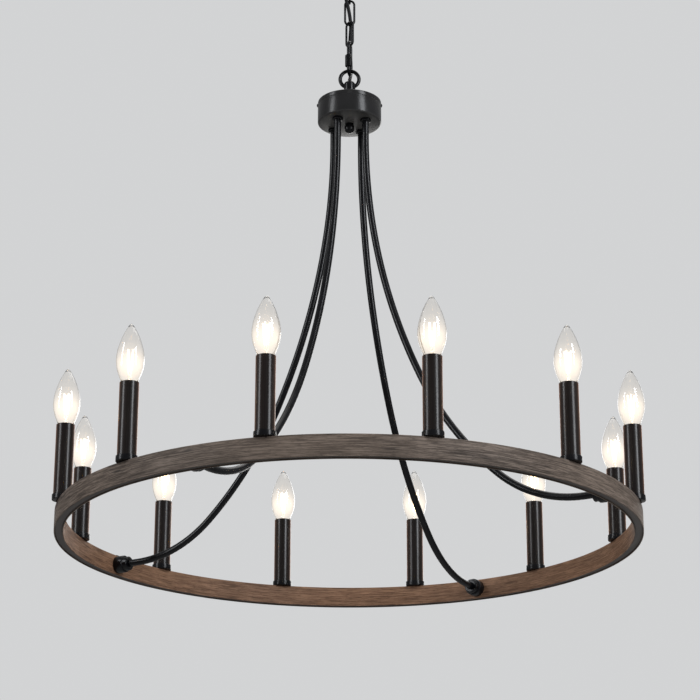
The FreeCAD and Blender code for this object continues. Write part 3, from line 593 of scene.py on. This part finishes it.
def make_lights(enamel, painted_sheen_sleeve_coat, moulding, glass, nickel, filament, inner_glass):
    rim_places = [Matrix.Translation(on_plan(RIM_MIDDLE, angle)) for angle in LIGHT_ANGLES]
    spots = [Matrix.Translation(on_plan(RIM_MIDDLE, angle)) @ Matrix.Rotation(BULB_TURN * k, 4, "Z")
             for k, angle in enumerate(LIGHT_ANGLES)]
    floor = RIM_HIGH + CUP_WALL
    cup = lathed([(0, RIM_HIGH), (CUP_RADIUS, RIM_HIGH, 0.0008), (CUP_RADIUS, CUP_HIGH, 0.0004),
                  (CUP_RADIUS - CUP_WALL, CUP_HIGH, 0.0004), (CUP_RADIUS - CUP_WALL, floor),
                  (0, floor)], 40)
    piece("candle_cups", copied(cup, rim_places), enamel, "black_metal", "chandelier", "light_cups")
    inner = SLEEVE_RADIUS - SLEEVE_WALL
    sleeve = lathed([(SLEEVE_RADIUS, floor), (SLEEVE_RADIUS, SLEEVE_HIGH, 0.0004),
                     (inner, SLEEVE_HIGH, 0.0004), (inner, floor)], 48, closed=True)
    piece("candle_tubes", copied(sleeve, rim_places), painted_sheen_sleeve_coat, "sleeve_metal", "chandelier",
          "candle_sleeves")
    seat = SLEEVE_HIGH - SOCKET_DROP
    bottom = seat - SOCKET_BORE_DEPTH
    holder = lathed([(0, floor), (SOCKET_RADIUS, floor), (SOCKET_RADIUS, seat, 0.0006),
                     (SOCKET_BORE, seat, 0.0005), (SOCKET_BORE, bottom), (0, bottom)], 32)
    piece("bulb_holders", copied(holder, rim_places), moulding, "socket_plastic", "chandelier",
          "sockets")
    wall = [(radius * MM, SLEEVE_HIGH + height * MM) for radius, height in GLASS_OUTLINE]
    inside = [(max(radius - GLASS_WALL, 0), height) for radius, height in wall[:-1]]
    skin = lathed([(0, SLEEVE_HIGH + GLASS_TIP)] + wall[::-1] + inside
                  + [(0, SLEEVE_HIGH + GLASS_TIP_INSIDE)], 40)
    piece("bulb_envelopes", copied(skin, spots), glass, "bulb_glass", "chandelier", "bulbs", crease=80)
    cap_top = SLEEVE_HIGH - CAP_DROP
    thread = [(CAP_RADIUS - (THREAD_DEPTH if step % 2 else 0), seat - CAP_LENGTH + step * THREAD_STEP)
              for step in range(13)]
    cap = lathed([(0, seat - CAP_LENGTH - 0.5 * MM)] + thread
                 + [(CAP_RADIUS, seat, 0.0004), (NECK_RADIUS, seat + 0.4 * MM), (CAP_RIM_RADIUS, cap_top),
                    (CAP_RIM_RADIUS - 0.8 * MM, cap_top), (0, cap_top)], 32)
    piece("bulb_caps", copied(cap, rim_places), nickel, "bulb_glass", "chandelier")
    stem = lathed([(0, cap_top + 0.05 * MM), (4.6 * MM, cap_top + 0.05 * MM, 0.0006),
                   (2.4 * MM, cap_top + 8 * MM, 0.002), (1.5 * MM, cap_top + 17 * MM, 0.0008),
                   (0, cap_top + 17.6 * MM)], 20)
    piece("bulb_inner_stems", copied(stem, rim_places), inner_glass, "bulb_glass", "chandelier")
    rods = bmesh.new()
    for turn in range(4):
        angle = math.radians(45 + 90 * turn)
        foot, head = [Vector((out * math.cos(angle), out * math.sin(angle), cap_top + rise))
                      for out, rise in (FILAMENT_FOOT, FILAMENT_HEAD)]
        edges = wire_start(rods, FILAMENT_RADIUS, 8, foot, (head - foot).normalized())
        bmesh.ops.holes_fill(rods, edges=edges, sides=0)
        bmesh.ops.holes_fill(rods, edges=run_on(rods, edges, head - foot), sides=0)
    piece("bulb_filaments", copied(rods, spots), filament, "bulb_glass", "chandelier")


# ---------------------------------------------------------------- hub and hanging loops

def nut_shape(across, height, bore, rounding=0.6 * MM):
    bm = bmesh.new()
    bmesh.ops.create_cone(bm, cap_ends=True, segments=6, radius1=across / math.sqrt(3),
                          radius2=across / math.sqrt(3), depth=height,
                          matrix=Matrix.Rotation(math.radians(30), 4, "Z"))
    caps = [face for face in bm.faces if abs(face.normal.z) > 0.9]
    bmesh.ops.inset_region(bm, faces=caps, thickness=(across / 2 - bore) * 0.55, depth=0.0)
    softened(bm, rounding, 3)
    return bm


def make_nut(name, across, height, at, enamel, slot, body, cad):
    bm = nut_shape(across, height, STEM_RADIUS)
    bmesh.ops.translate(bm, verts=bm.verts, vec=at + UP * height / 2)
    piece(name, bm, enamel, slot, body, cad)


def loop_shape():
    """Bored collar with its closed ring, standing on the origin."""
    collar = lathed([(STEM_BORE, 0), (COLLAR_RADIUS, 0, 0.0005),
                     (COLLAR_RADIUS, COLLAR_LENGTH - 3 * MM, 0.002),
                     (COLLAR_RADIUS - 3 * MM, COLLAR_LENGTH, 0.001),
                     (STEM_BORE, COLLAR_LENGTH, 0.0004)], 48, closed=True)
    ring = bmesh.new()
    centre = Vector((0, 0, COLLAR_LENGTH + LOOP_RISE))
    edges = wire_start(ring, LOOP_WIRE, 24, centre + RIGHT * LOOP_RADIUS, UP)
    bmesh.ops.spin(ring, geom=edges, cent=centre, axis=BACK, angle=2 * math.pi, steps=72,
                   use_merge=True, use_duplicate=False)
    shape = bpy.data.meshes.new("shape")
    ring.to_mesh(shape)
    ring.free()
    collar.from_mesh(shape)
    bpy.data.meshes.remove(shape)
    return collar


def make_hub(enamel, worn_and_highlit):
    step, inside = HUB_RADIUS - HUB_LIP_STEP, HUB_RADIUS - HUB_WALL
    lip, seam, floor = HUB_SEAM + HUB_LIP_HEIGHT, HUB_SEAM - SEAM_GAP, HUB_LOW + HUB_FLOOR
    bm = lathed([(STEM_RADIUS, HUB_LOW), (HUB_RADIUS, HUB_LOW, HUB_ROUNDING), (HUB_RADIUS, seam, 0.0003),
                 (step, seam), (step, lip), (inside, lip), (inside, floor), (STEM_RADIUS, floor)],
                128, closed=True)
    piece("hub_cup", bm, worn_and_highlit, "black_metal", "chandelier", "hub_body")
    skirt, under = HUB_RADIUS - LID_WALL, LID_HIGH - LID_THICKNESS
    bm = lathed([(STEM_RADIUS, LID_HIGH), (HUB_RADIUS, LID_HIGH, LID_ROUNDING),
                 (HUB_RADIUS, HUB_SEAM + SEAM_GAP, 0.0003), (skirt, HUB_SEAM + SEAM_GAP),
                 (skirt, under), (STEM_RADIUS, under)], 128, closed=True)
    piece("hub_cover", bm, worn_and_highlit, "black_metal", "chandelier", "hub_lid")
    screw = lathed([(0, -SCREW_LENGTH), (SCREW_RADIUS, -SCREW_LENGTH), (SCREW_RADIUS, 0),
                    (SCREW_HEAD_RADIUS, 0), (SCREW_HEAD_RADIUS, 1.0 * MM, 0.0007), (0, 1.8 * MM)], 24)
    sides = [Matrix.Translation((side * HUB_RADIUS, 0, HUB_SEAM + SCREW_RISE))
             @ Matrix.Rotation(side * math.pi / 2, 4, "Y") for side in (1, -1)]
    piece("hub_cover_screws", copied(screw, sides), enamel, "black_metal", "chandelier",
          "hub_side_screws")
    tall = HUB_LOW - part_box("hub_finial")[0].z
    ball = lathed([(radius * MM, HUB_LOW - share * tall) for radius, share in BALL_OUTLINE], 40)
    piece("hub_end_ball", ball, enamel, "black_metal", "chandelier", "hub_finial")
    loop = loop_shape()
    bmesh.ops.translate(loop, verts=loop.verts, vec=UP * (LID_HIGH + NUT_HEIGHT))
    piece("hub_ring", loop, enamel, "black_metal", "chandelier", "hub_loop", crease=50)
    make_nut("hub_top_nut", STEM_NUT_ACROSS, NUT_HEIGHT, UP * LID_HIGH, enamel, "black_metal",
             "chandelier", "hub_lock_nut")
    nuts = nut_shape(ARM_NUT_ACROSS, NUT_HEIGHT, ARM_RADIUS, 1.4 * MM)
    level = HUB_LOW - NUT_HEIGHT / 2
    spots = [Matrix.Translation(on_plan(ARM_HUB_RADIUS, angle + ARM_HUB_TURN, level))
             for angle in ARM_ANGLES.values()]
    piece("arm_lock_nuts", copied(nuts, spots), enamel, "black_metal", "chandelier",
          "arm_nuts_lower")


def make_canopy(enamel):
    outer, low, wall = CANOPY_RADIUS, CANOPY_LOW, CANOPY_WALL
    bm = lathed([(outer, 0), (outer, low, CANOPY_ROUNDING), (STEM_RADIUS, low), (STEM_RADIUS, low + wall),
                 (outer - wall, low + wall, CANOPY_ROUNDING - wall), (outer - wall, 0)], 128, closed=True)
    piece("ceiling_canopy", bm, enamel, "black_metal", "ceiling_mount", "canopy")
    loop = loop_shape()
    bmesh.ops.rotate(loop, verts=loop.verts, cent=(0, 0, 0), matrix=Matrix.Rotation(math.pi, 3, "X"))
    bmesh.ops.translate(loop, verts=loop.verts, vec=UP * (low - NUT_HEIGHT))
    piece("canopy_ring", loop, enamel, "black_metal", "ceiling_mount", "canopy_loop", crease=50)
    make_nut("canopy_hex_nut", STEM_NUT_ACROSS, NUT_HEIGHT, UP * (low - NUT_HEIGHT), enamel,
             "black_metal", "ceiling_mount", "canopy_nut")


# ---------------------------------------------------------------- chain

def oval_wire(node_name, wire, width, plan_angle):
    """A closed oval of round wire between the node's top and bottom."""
    low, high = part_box(node_name)
    bow = width / 2 - wire
    top = high.z - wire - bow
    bottom = low.z + wire + bow
    bm = bmesh.new()
    edges = wire_start(bm, wire, 24, RIGHT * bow + UP * top, UP)
    edges = bend_on(bm, edges, UP * top, BACK, -math.pi, 24)
    edges = run_on(bm, edges, UP * (bottom - top))
    edges = bend_on(bm, edges, UP * bottom, BACK, -math.pi, 24)
    run_on(bm, edges, UP * (top - bottom))
    bmesh.ops.rotate(bm, verts=bm.verts, cent=(0, 0, 0),
                     matrix=Matrix.Rotation(math.radians(plan_angle), 3, "Z"))
    return bm


def make_chain(enamel):
    for name, plan_angle in LINK_ANGLES.items():
        bm = oval_wire(name, LINK_WIRE, LINK_WIDTH, plan_angle)
        piece(name.replace("chain", "oval"), bm, enamel, "black_metal", name, name)
    bm = oval_wire("quick_link", QUICK_WIRE, QUICK_WIDTH, QUICK_ANGLE)
    piece("screw_link", bm, enamel, "black_metal", "quick_link", "quick_link")
    low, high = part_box("quick_link_nut")
    middle = (low + high) / 2
    nut = nut_shape(QUICK_NUT_ACROSS, high.z - low.z, QUICK_WIRE)
    bmesh.ops.translate(nut, verts=nut.verts, vec=middle)
    piece("screw_link_nut", nut, enamel, "black_metal", "quick_link_nut", "quick_link_nut")


# ---------------------------------------------------------------- arms

def arm_shape(angle):
    top = on_plan(ARM_HUB_RADIUS, angle + ARM_HUB_TURN)
    end = on_plan(RIM_INSIDE - ARM_END_GAP, angle)
    heading = (end - top).normalized()
    reach = (end - top).length
    level = RIM_LOW + ARM_RIM_HEIGHT
    corners = [top + UP * (HUB_LOW + ARM_TOP), top + UP * (HUB_LOW - SHOULDER_DROP),
               top + heading * (reach - KNEE_IN) + UP * (level + KNEE_UP),
               top + heading * (reach - FOOT_IN) + UP * level, top + heading * reach + UP * level]
    runs = [(after - before).length for before, after in zip(corners, corners[1:])]
    lengths = [min(SHOULDER_SHARE * runs[1], SHOULDER_DROP - NUT_HEIGHT),
               min((1 - SHOULDER_SHARE) * runs[1], KNEE_SHARE * runs[2]),
               min((1 - KNEE_SHARE) * runs[2], FOOT_IN - BUSH_LENGTH - BUSH_NOSE_LENGTH)]
    bm = bmesh.new()
    here = corners[0]
    edges = wire_start(bm, ARM_RADIUS, 32, here, -UP)
    bmesh.ops.holes_fill(bm, edges=edges, sides=0)
    for before, corner, after, length in zip(corners, corners[1:], corners[2:], lengths):
        back = (before - corner).normalized()
        on = (after - corner).normalized()
        half = back.angle(on) / 2
        enter = corner + back * length
        if (enter - here).length > 0.1 * MM:
            edges = run_on(bm, edges, enter - here)
        centre = corner + (back + on).normalized() * (length / math.cos(half))
        turn = math.pi - 2 * half
        steps = max(12, round(turn * length * math.tan(half) / (8 * MM)))
        edges = bend_on(bm, edges, centre, (-back).cross(on).normalized(), turn, steps)
        here = corner + on * length
    edges = run_on(bm, edges, corners[-1] - here)
    bmesh.ops.holes_fill(bm, edges=edges, sides=0)
    return bm, corners[-1], heading


def make_arms(enamel):
    bore = ARM_RADIUS + 0.15 * MM
    length = BUSH_LENGTH + BUSH_NOSE_LENGTH
    places = []
    for name, angle in ARM_ANGLES.items():
        bm, end, heading = arm_shape(angle)
        piece("bent_" + name, bm, enamel, "black_metal", "chandelier", name)
        turn = (-heading).to_track_quat("Z", "Y").to_matrix().to_4x4()
        places.append(Matrix.Translation(end) @ turn)
    bush = lathed([(bore, 0), (BUSH_RADIUS, 0, 0.0006), (BUSH_RADIUS, BUSH_LENGTH, 0.0014),
                   (BUSH_NOSE_RADIUS, BUSH_LENGTH, 0.0004), (BUSH_NOSE_RADIUS, length, 0.0012),
                   (bore, length, 0.0004)], 48, closed=True)
    piece("arm_end_bushes", copied(bush, places), enamel, "black_metal", "chandelier", "arm_bushes")


# ---------------------------------------------------------------- cord

def cord_route():
    """Corners of the cord's line from the nipple through the chain into the hub's stem."""
    first_high, first_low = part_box("chain_link_1")[1].z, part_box("chain_link_1")[0].z
    second_high, second_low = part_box("chain_link_2")[1].z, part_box("chain_link_2")[0].z
    third_high, third_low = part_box("chain_link_3")[1].z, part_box("chain_link_3")[0].z
    quick_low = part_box("quick_link")[0].z
    ring_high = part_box("hub_loop")[1].z
    return [Vector((x * MM, y * MM, height + z * MM)) for x, y, height, z in (
        (0, 0, 0, -0.1), (0, 0, CANOPY_LOW, -31.8), (-2.2, -1.7, CANOPY_LOW, -41.8),
        (-7.5, -7.9, first_high, -6.6), (-7.7, -8.7, first_high, -22.6), (-5.2, -6.0, first_low, 3.6),
        (-2.0, -1.8, second_high, -14.6), (0.6, 2.6, second_high, -27.6), (1.9, 6.4, second_low, 1.6),
        (1.0, 8.8, third_high, -18.6), (0.4, 10.6, third_low, 12.6), (0.8, 12.6, third_low, 0.6),
        (1.6, 13.6, quick_low, 33.5), (2.0, 13.8, quick_low, 19.5), (1.8, 13.0, ring_high, -1.6),
        (0.9, 9.6, ring_high, -9.0), (0.3, 4.4, ring_high, -14.0), (0, 0.4, ring_high, -18.6),
        (0, 0, ring_high, -24.0), (0, 0, ring_high, -44.0), (0, 0, HUB_LOW, 14.5))]


def make_cord(jacket):
    """The cord's tube, cut into one span around each hinge at the levels halfway between hinges."""
    line = bpy.data.curves.new("cord_line", "CURVE")
    line.dimensions = "3D"
    spline = line.splines.new("NURBS")
    route = cord_route()
    spline.points.add(len(route) - 1)
    for point, spot in zip(spline.points, route):
        point.co = (*spot, 1)
    spline.order_u = 3
    spline.use_endpoint_u = True
    spline.resolution_u = 10
    line.bevel_depth = CORD_RADIUS
    line.bevel_resolution = 5
    line.use_fill_caps = True
    carrier = bpy.data.objects.new("cord_line", line)
    bpy.context.scene.collection.objects.link(carrier)
    bpy.context.view_layer.update()
    tube = bpy.data.meshes.new_from_object(carrier.evaluated_get(bpy.context.evaluated_depsgraph_get()))
    bpy.data.objects.remove(carrier)
    hinges = [joint for joint in frame["joints"] if joint["type"] == "hinge"]
    levels = [joint["pos_m"][2] for joint in hinges]
    cuts = [None] + [(above + below) / 2 for above, below in zip(levels, levels[1:])] + [None]
    for number, (joint, level) in enumerate(zip(hinges, levels)):
        bm = bmesh.new()
        bm.from_mesh(tube)
        for cut, outwards in ((cuts[number], UP), (cuts[number + 1], -UP)):
            if cut is not None:
                bmesh.ops.bisect_plane(bm, geom=bm.verts[:] + bm.edges[:] + bm.faces[:],
                                       plane_co=UP * cut, plane_no=outwards, clear_outer=True)
        bmesh.ops.holes_fill(bm, edges=[edge for edge in bm.edges if edge.is_boundary], sides=0)
        nodes = ("power_cord",) if number == 0 else ()
        span = piece("cord_span_%d" % (number + 1), bm, jacket, "cord_sheath", None, *nodes)
        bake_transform(span)


# ---------------------------------------------------------------- carried-over solids

def dress_solids(enamel, zinc, green):
    """Finishes for the threaded tubes, inner nuts, crossbar and ground screw, kept as packed."""
    coats = {"crossbar": zinc, "canopy_nipple": zinc, "hub_stem": zinc, "crossbar_nut": zinc,
             "hub_inner_nut": zinc, "arm_nuts_upper": enamel, "ground_screw": green}
    for name, coat in coats.items():
        mesh = frame["nodes"][name].data
        if not mesh.materials:
            mesh.materials.append(coat)
        for place in range(len(mesh.materials)):
            mesh.materials[place] = coat


# ---------------------------------------------------------------- stage and light

FLOOR_LEVEL = -3.3
FLOOR_SIZE = 12.0
FLOOR_GLOW = 0.4
SURROUND_LIGHT = 0.30
SURROUND_SEEN = 0.66
LAMP_AIM = (0, 0, -0.75)


def set_stage():
    floor = bmesh.new()
    bmesh.ops.create_grid(floor, x_segments=1, y_segments=1, size=FLOOR_SIZE,
                          matrix=Matrix.Translation((0, 0, FLOOR_LEVEL)))
    mesh = bpy.data.meshes.new("studio_floor")
    floor.to_mesh(mesh)
    floor.free()
    coat, shader = finish("studio_floor", (0.58, 0.58, 0.57), 0.9, 0.0,
                          Emission_Color=(0.98, 0.99, 1.0, 1))
    paths = coat.node_tree.nodes.new("ShaderNodeLightPath")
    share = node(coat, "MapRange", {"Value": paths.outputs["Is Camera Ray"], "To Max": FLOOR_GLOW})
    link(coat, share, shader, "Emission Strength")
    mesh.materials.append(coat)
    ground = bpy.data.objects.new("studio_floor", mesh)
    bpy.context.scene.collection.objects.link(ground)


def soft_box(name, place, aim, size, power, colour):
    light = bpy.data.lights.new(name, "AREA")
    light.shape = "RECTANGLE"
    light.size, light.size_y = size
    light.energy = power
    light.color = colour
    lamp = bpy.data.objects.new(name, light)
    heading = (Vector(aim) - Vector(place)).to_track_quat("-Z", "Y")
    lamp.matrix_world = Matrix.Translation(place) @ heading.to_matrix().to_4x4()
    lamp.visible_transmission = False
    bpy.context.scene.collection.objects.link(lamp)


def set_light():
    """A pale surround that the camera and the glass see, and a dimmer one for the rest."""
    world = bpy.data.worlds.new("surround")
    world.use_nodes = True
    tree = world.node_tree
    paths = tree.nodes.new("ShaderNodeLightPath")
    seen = tree.nodes.new("ShaderNodeMath")
    seen.operation = "MAXIMUM"
    tree.links.new(paths.outputs["Is Camera Ray"], seen.inputs[0])
    tree.links.new(paths.outputs["Is Transmission Ray"], seen.inputs[1])
    strength = tree.nodes.new("ShaderNodeMix")
    tree.links.new(seen.outputs[0], strength.inputs[0])
    strength.inputs[2].default_value = SURROUND_LIGHT
    strength.inputs[3].default_value = SURROUND_SEEN
    background = tree.nodes["Background"]
    background.inputs["Color"].default_value = (0.98, 0.99, 1.0, 1)
    tree.links.new(strength.outputs[0], background.inputs["Strength"])
    bpy.context.scene.world = world
    soft_box("window_right", (2.3, -2.2, 0.45), LAMP_AIM, (0.9, 2.6), 105, (0.93, 0.96, 1.0))
    soft_box("window_left", (-2.7, -1.3, 0.3), LAMP_AIM, (0.7, 2.4), 54, (0.95, 0.97, 1.0))
    soft_box("ceiling_bounce", (0.2, 0.6, 1.5), LAMP_AIM, (2.4, 2.4), 36, (1.0, 0.98, 0.95))
    soft_box("back_fill", (0.6, 2.8, -0.4), LAMP_AIM, (2.2, 1.6), 28, (1.0, 0.99, 0.97))


# ---------------------------------------------------------------- all together

set_camera()
enamel = black_enamel()
# Hub enamel whose paler edges are partly rubbed paint and partly a painted edge highlight.
worn_and_highlit = black_enamel("worn_enamel_painted_edge_highlight", wear_and_highlight=0.55)
make_cord(cord_jacket())
outer_oak = weathered_oak("weathered_oak", (0.2, 0.156, 0.126), (0.09, 0.067, 0.052),
                          (0.024, 0.017, 0.013), 0.9)
inner_oak = weathered_oak("inner_oak", (0.27, 0.152, 0.09), (0.155, 0.083, 0.048),
                          (0.06, 0.03, 0.018), 0.6)
make_rim(outer_oak, inner_oak, underside_brown(), enamel)
make_lights(enamel, sleeve_painted_warm_sheen(), socket_moulding(), clear_glass(), cap_nickel(), hot_filament(),
            stem_glass())
make_hub(enamel, worn_and_highlit)
make_canopy(enamel)
make_chain(enamel)
make_arms(enamel)
dress_solids(enamel, zinc_plate(), green_paint())
set_stage()
set_light()
bpy.context.scene.view_settings.view_transform = "Standard"
